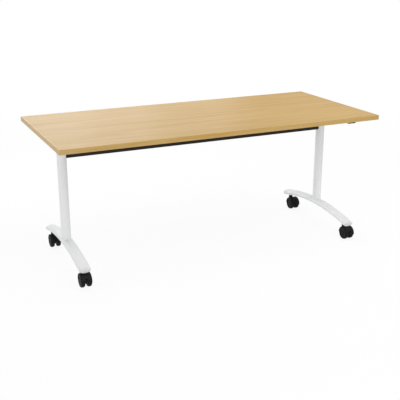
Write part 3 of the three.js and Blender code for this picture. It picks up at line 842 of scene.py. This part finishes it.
wheelLook = {
    "edge": 7.0,
    "edgeSteps": 8,
    "edgeEnd": 12.0,  # degrees at which the outer edge meets the tread line
    "boreRadius": 4.3,
    "boreEnd": 22.5,
    "treadLine": ((0.5, 28.2), (0.9, 27.7), (0.4, 27.1)),  # in from the outer face, out from the axle
    "dish": ((0.2, 26.0), (0.3, 24.4), (0.8, 23.6), (2.6, 21.6), (3.0, 20.8)),
    "boss": ((3.0, 13.4), (2.7, 12.7), (1.8, 10.6), (1.4, 9.8), (1.1, 5.0), (1.0, 0.0)),
    "steps": 64,
    "crease": 0.9,
}


def wheelProfile():
    inner, outer = wheelLow.x - castorStem.x, wheelHigh.x - castorStem.x
    edge, steps = wheelLook["edge"], wheelLook["edgeSteps"]
    rim = castorAxle.z - edge
    bore, boreEnd = wheelLook["boreRadius"], wheelLook["boreEnd"]
    points = [(boreEnd, 0.0), (boreEnd, bore), (inner, bore)]
    points += arcPoints((inner + edge, rim), edge, 180, 90, steps)
    points += arcPoints((outer - edge, rim), edge, 90, wheelLook["edgeEnd"], steps)
    for key in ("treadLine", "dish", "boss"):
        points += [(outer - depth, out) for depth, out in wheelLook[key]]
    return points


def makeWheel(corner, side, sign, stem):
    centre = Vector((stem.x, stem.y, 0)) + axleCentre
    points = [(centre.x + sign * along, centre.y, centre.z + out) for along, out in wheelProfile()]
    bm = bmesh.new()
    turnProfile(bm, points, centre, (1, 0, 0), wheelLook["steps"])
    name = "wheel_%s_%s" % (corner, side)
    makePiece(name, bm, "castor_tread", name, ["castor_%s_wheel_%s" % (corner, side)],
              wheelLook["crease"])


hoodLook = {
    "radius": 39.5,
    "inner": 36.5,
    "half": 29.0,
    "edge": 7.0,
    "edgeSteps": 8,
    "hem": 2.5,  # below the axle
    "steps": 40,
    "ease": 0.5,
    "webHalf": 5.0,
    "webFrom": 1.0,  # out from the axle
    "webBury": 1.0,
    "hubRadius": 7.0,
    "hubProud": 0.3,
    "bossRadius": 12.0,
    "bossLow": 55.0,
    "bossHigh": 81.2,
    "bossEase": 1.2,
    "bossBury": 0.5,
    "roundSteps": 48,
    "drumSteps": 80,
    "slotHalf": 3.0,
    "slotRoom": 6.0,  # round the lever's pivot
    "slotLow": 20.0,
    "slotLength": 40.0,
}


def sweepUpper(points):
    # Sweeps a closed profile of (along the axle, out from it) over the wheels, from hem to hem.
    bm = bmesh.new()
    dip = math.asin(hoodLook["hem"] / hoodLook["radius"])
    x, y, z = axleCentre
    verts, edges = drawLine(bm, [(x + along, y + out, z) for along, out in points], closed=True)
    there, back = Matrix.Translation(-axleCentre), Matrix.Translation(axleCentre)
    bmesh.ops.transform(bm, matrix=back @ Matrix.Rotation(-dip, 4, "X") @ there, verts=verts)
    sweepRing(bm, verts, edges, axleCentre, (1, 0, 0), math.pi + 2 * dip, hoodLook["steps"])
    return bm


def axleBar(diameter, half, segments):
    bm = bmesh.new()
    x, y, z = axleCentre
    addBar(bm, diameter, (x - half, y, z), (x + half, y, z), segments)
    return bm


def hoodShell():
    inner, outer, edge = hoodLook["inner"], hoodLook["radius"], hoodLook["edge"]
    flat = hoodLook["half"] - edge
    reach = math.degrees(math.asin((inner - outer + edge) / edge))
    points = list(arcPoints((flat, outer - edge), edge, reach, 90, hoodLook["edgeSteps"]))
    points += arcPoints((-flat, outer - edge), edge, 90, 180 - reach, hoodLook["edgeSteps"])
    shell = sweepUpper(points)
    softenEdges(shell, hoodLook["ease"])
    return shell


def hoodWeb():
    half = hoodLook["webHalf"]
    start, end = hoodLook["webFrom"], hoodLook["inner"] + hoodLook["webBury"]
    web = sweepUpper([(-half, start), (half, start), (half, end), (-half, end)])
    mergeFlats(web)
    return web


def hoodBoss():
    # The socket for the stem, cut clear of the wheels.
    boss = bmesh.new()
    addBar(boss, 2 * hoodLook["bossRadius"], (0, 0, hoodLook["bossLow"]), (0, 0, hoodLook["bossHigh"]),
           hoodLook["roundSteps"], hoodLook["bossEase"])
    clear = hoodLook["inner"] + hoodLook["bossBury"]
    drum = axleBar(2 * clear, hoodLook["radius"], hoodLook["drumSteps"])
    return combine(boss, drum, "DIFFERENCE")


def leverSlot():
    slot = bmesh.new()
    half = hoodLook["slotHalf"]
    back = leverPivot.y - castorStem.y + hoodLook["slotRoom"]
    top = leverPivot.z + hoodLook["slotRoom"]
    addBlock(slot, (-half, back - hoodLook["slotLength"], hoodLook["slotLow"]), (half, back, top))
    return slot


def hoodForm():
    # A hood round a stem at the origin.
    hub = axleBar(2 * hoodLook["hubRadius"], hoodLook["webHalf"] + hoodLook["hubProud"],
                  hoodLook["roundSteps"])
    form = combine(hoodShell(), hoodWeb(), "UNION")
    form = combine(form, hub, "UNION")
    form = combine(form, hoodBoss(), "UNION")
    form = combine(form, leverSlot(), "DIFFERENCE")
    bmesh.ops.triangulate(form, faces=[face for face in form.faces if len(face.verts) > 4])
    return form


def makeHood(corner, form, stem):
    bm = form.copy()
    bmesh.ops.translate(bm, vec=(stem.x, stem.y, 0), verts=bm.verts)
    makePiece("hood_" + corner, bm, "black_plastic", "fork_" + corner, ["castor_%s_hood" % corner])


hood = hoodForm()
for end in ends:
    for side in sides:
        corner = end + "_" + side
        stem = jointPlace("swivel_" + corner)
        makeHood(corner, hood, stem)
        for wheelSide, wheelSign in sides.items():
            makeWheel(corner, wheelSide, wheelSign, stem)
        dressCopy("brake_" + corner, "castor_%s_brake_lever" % corner, "black_plastic",
                  "brake_" + corner, **leverLook)
hood.free()
print("castors made")


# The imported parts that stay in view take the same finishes.
for entry in frame["record"]["subparts"]:
    node = frame["nodes"][entry["node"]]
    node.data.materials.clear()
    node.data.materials.append(finishes[entry["material_slot"]])


# Floor, light and camera, in metres

stageLook = {
    "floor": 80.0,
    "floorColour": (0.93, 0.93, 0.93),
    "floorRoughness": 0.9,
    "glowNear": 0.88,
    "glowFar": 1.0,
    "glowReach": 4.0,
    "ambient": 0.57,
    "background": 1.0,
}


def backgroundRay(tree):
    # 1 for rays from the camera, a mirror or glass, and 0 for the rays that light the object.
    lightPath = tree.nodes.new("ShaderNodeLightPath")
    seen = lightPath.outputs["Is Camera Ray"]
    for kind in ("Is Glossy Ray", "Is Transmission Ray"):
        either = tree.nodes.new("ShaderNodeMath")
        either.operation = "MAXIMUM"
        tree.links.new(seen, either.inputs[0])
        tree.links.new(lightPath.outputs[kind], either.inputs[1])
        seen = either.outputs["Value"]
    return seen


def floorGlow(material):
    # The floor's own white, which gives way to its shaded colour near the table.
    coords = addNode(material, "ShaderNodeTexCoord")
    mapping = addNode(material, "ShaderNodeMapping", Scale=(1 / stageLook["glowReach"],) * 3)
    nearness = addNode(material, "ShaderNodeTexGradient")
    nearness.gradient_type = "SPHERICAL"
    wire(material, coords.outputs["Object"], mapping.inputs["Vector"])
    wire(material, mapping.outputs["Vector"], nearness.inputs["Vector"])
    return rangeOf(material, nearness.outputs["Fac"], stageLook["glowFar"], stageLook["glowNear"])


def floorFinish():
    material, shader = newFinish("floor_white")
    shader.inputs["Base Color"].default_value = (*stageLook["floorColour"], 1.0)
    shader.inputs["Roughness"].default_value = stageLook["floorRoughness"]
    shader.inputs["Specular IOR Level"].default_value = 0.0
    glow = addNode(material, "ShaderNodeEmission", Color=(*white, 1.0), Strength=1.0)
    share = addNode(material, "ShaderNodeMath")
    share.operation = "MULTIPLY"
    mix = addNode(material, "ShaderNodeMixShader")
    output = shader.outputs["BSDF"].links[0].to_node
    wire(material, backgroundRay(material.node_tree), share.inputs[0])
    wire(material, floorGlow(material), share.inputs[1])
    wire(material, share.outputs["Value"], mix.inputs["Fac"])
    for socket, source in zip(shaderSockets, (shader.outputs["BSDF"], glow.outputs["Emission"])):
        wire(material, source, mix.inputs[socket])
    wire(material, mix.outputs["Shader"], output.inputs["Surface"])
    return material


def makeFloor():
    bm = bmesh.new()
    bmesh.ops.create_grid(bm, x_segments=2, y_segments=2, size=stageLook["floor"] / 2)
    mesh = bpy.data.meshes.new("floor")
    bm.to_mesh(mesh)
    bm.free()
    mesh.materials.append(floorFinish())
    floor = bpy.data.objects.new("floor", mesh)
    scene.collection.objects.link(floor)


def makeWorld():
    world = bpy.data.worlds.new("studio")
    world.use_nodes = True
    scene.world = world
    tree = world.node_tree
    tree.nodes.clear()
    mix = tree.nodes.new("ShaderNodeMixShader")
    output = tree.nodes.new("ShaderNodeOutputWorld")
    for socket, key in zip(shaderSockets, ("ambient", "background")):
        light = tree.nodes.new("ShaderNodeBackground")
        light.inputs["Color"].default_value = (*white, 1.0)
        light.inputs["Strength"].default_value = stageLook[key]
        tree.links.new(light.outputs["Background"], mix.inputs[socket])
    tree.links.new(backgroundRay(tree), mix.inputs["Fac"])
    tree.links.new(mix.outputs["Shader"], output.inputs["Surface"])


softboxes = {
    "key": {
        "place": (0.9, -2.4, 3.6), "target": (0.2, 0.0, 0.4), "size": (2.4, 2.4), "power": 44.0,
    },
    "over_right": {
        "place": (0.9, -0.1, 2.4), "target": (0.8, -0.1, 0.7), "size": (1.2, 1.2), "power": 9.6,
    },
    "fill_left": {
        "place": (-2.9, -0.5, 1.0), "target": (0.0, 0.0, 0.5), "size": (1.4, 1.4), "power": 7.5,
    },
    "fill_front": {
        "place": (-0.2, -3.2, 0.9), "target": (0.0, 0.0, 0.4), "size": (1.6, 1.0), "power": 9.3,
    },
    "back_left": {
        "place": (-0.75, 2.4, 1.55), "target": (-0.75, 0.0, 0.8), "size": (1.7, 1.0), "power": 19.2,
    },
    "back_mid": {
        "place": (0.40, 2.4, 1.55), "target": (0.40, 0.0, 0.8), "size": (0.6, 1.0), "power": 4.8,
    },
    "back_right": {
        "place": (1.10, 2.4, 1.55), "target": (1.10, 0.0, 0.8), "size": (0.8, 1.0), "power": 3.1,
    },
}


def makeSoftbox(name, look):
    light = bpy.data.lights.new(name, "AREA")
    light.shape = "RECTANGLE"
    light.size, light.size_y = look["size"]
    light.energy = look["power"]
    lamp = bpy.data.objects.new(name, light)
    lamp.location = look["place"]
    aim = Vector(look["target"]) - Vector(look["place"])
    lamp.rotation_euler = aim.to_track_quat("-Z", "Y").to_euler()
    lamp.visible_camera = False
    scene.collection.objects.link(lamp)


cameraLook = {
    "place": (-1.720, -3.690, 1.613),
    "tilt": 71.45,
    "turn": -24.95,
    "lens": 67.8,
    "sensor": 36.0,
    "reach": 200.0,
}


def makeCamera():
    camera = bpy.data.cameras.new("photo_view")
    camera.lens = cameraLook["lens"]
    camera.sensor_width = cameraLook["sensor"]
    camera.sensor_fit = "HORIZONTAL"
    camera.clip_end = cameraLook["reach"]
    view = bpy.data.objects.new("photo_view", camera)
    view.location = cameraLook["place"]
    view.rotation_euler = (math.radians(cameraLook["tilt"]), 0.0, math.radians(cameraLook["turn"]))
    scene.collection.objects.link(view)
    scene.camera = view


makeFloor()
makeWorld()
for name, look in softboxes.items():
    makeSoftbox(name, look)
makeCamera()
print("stage set")
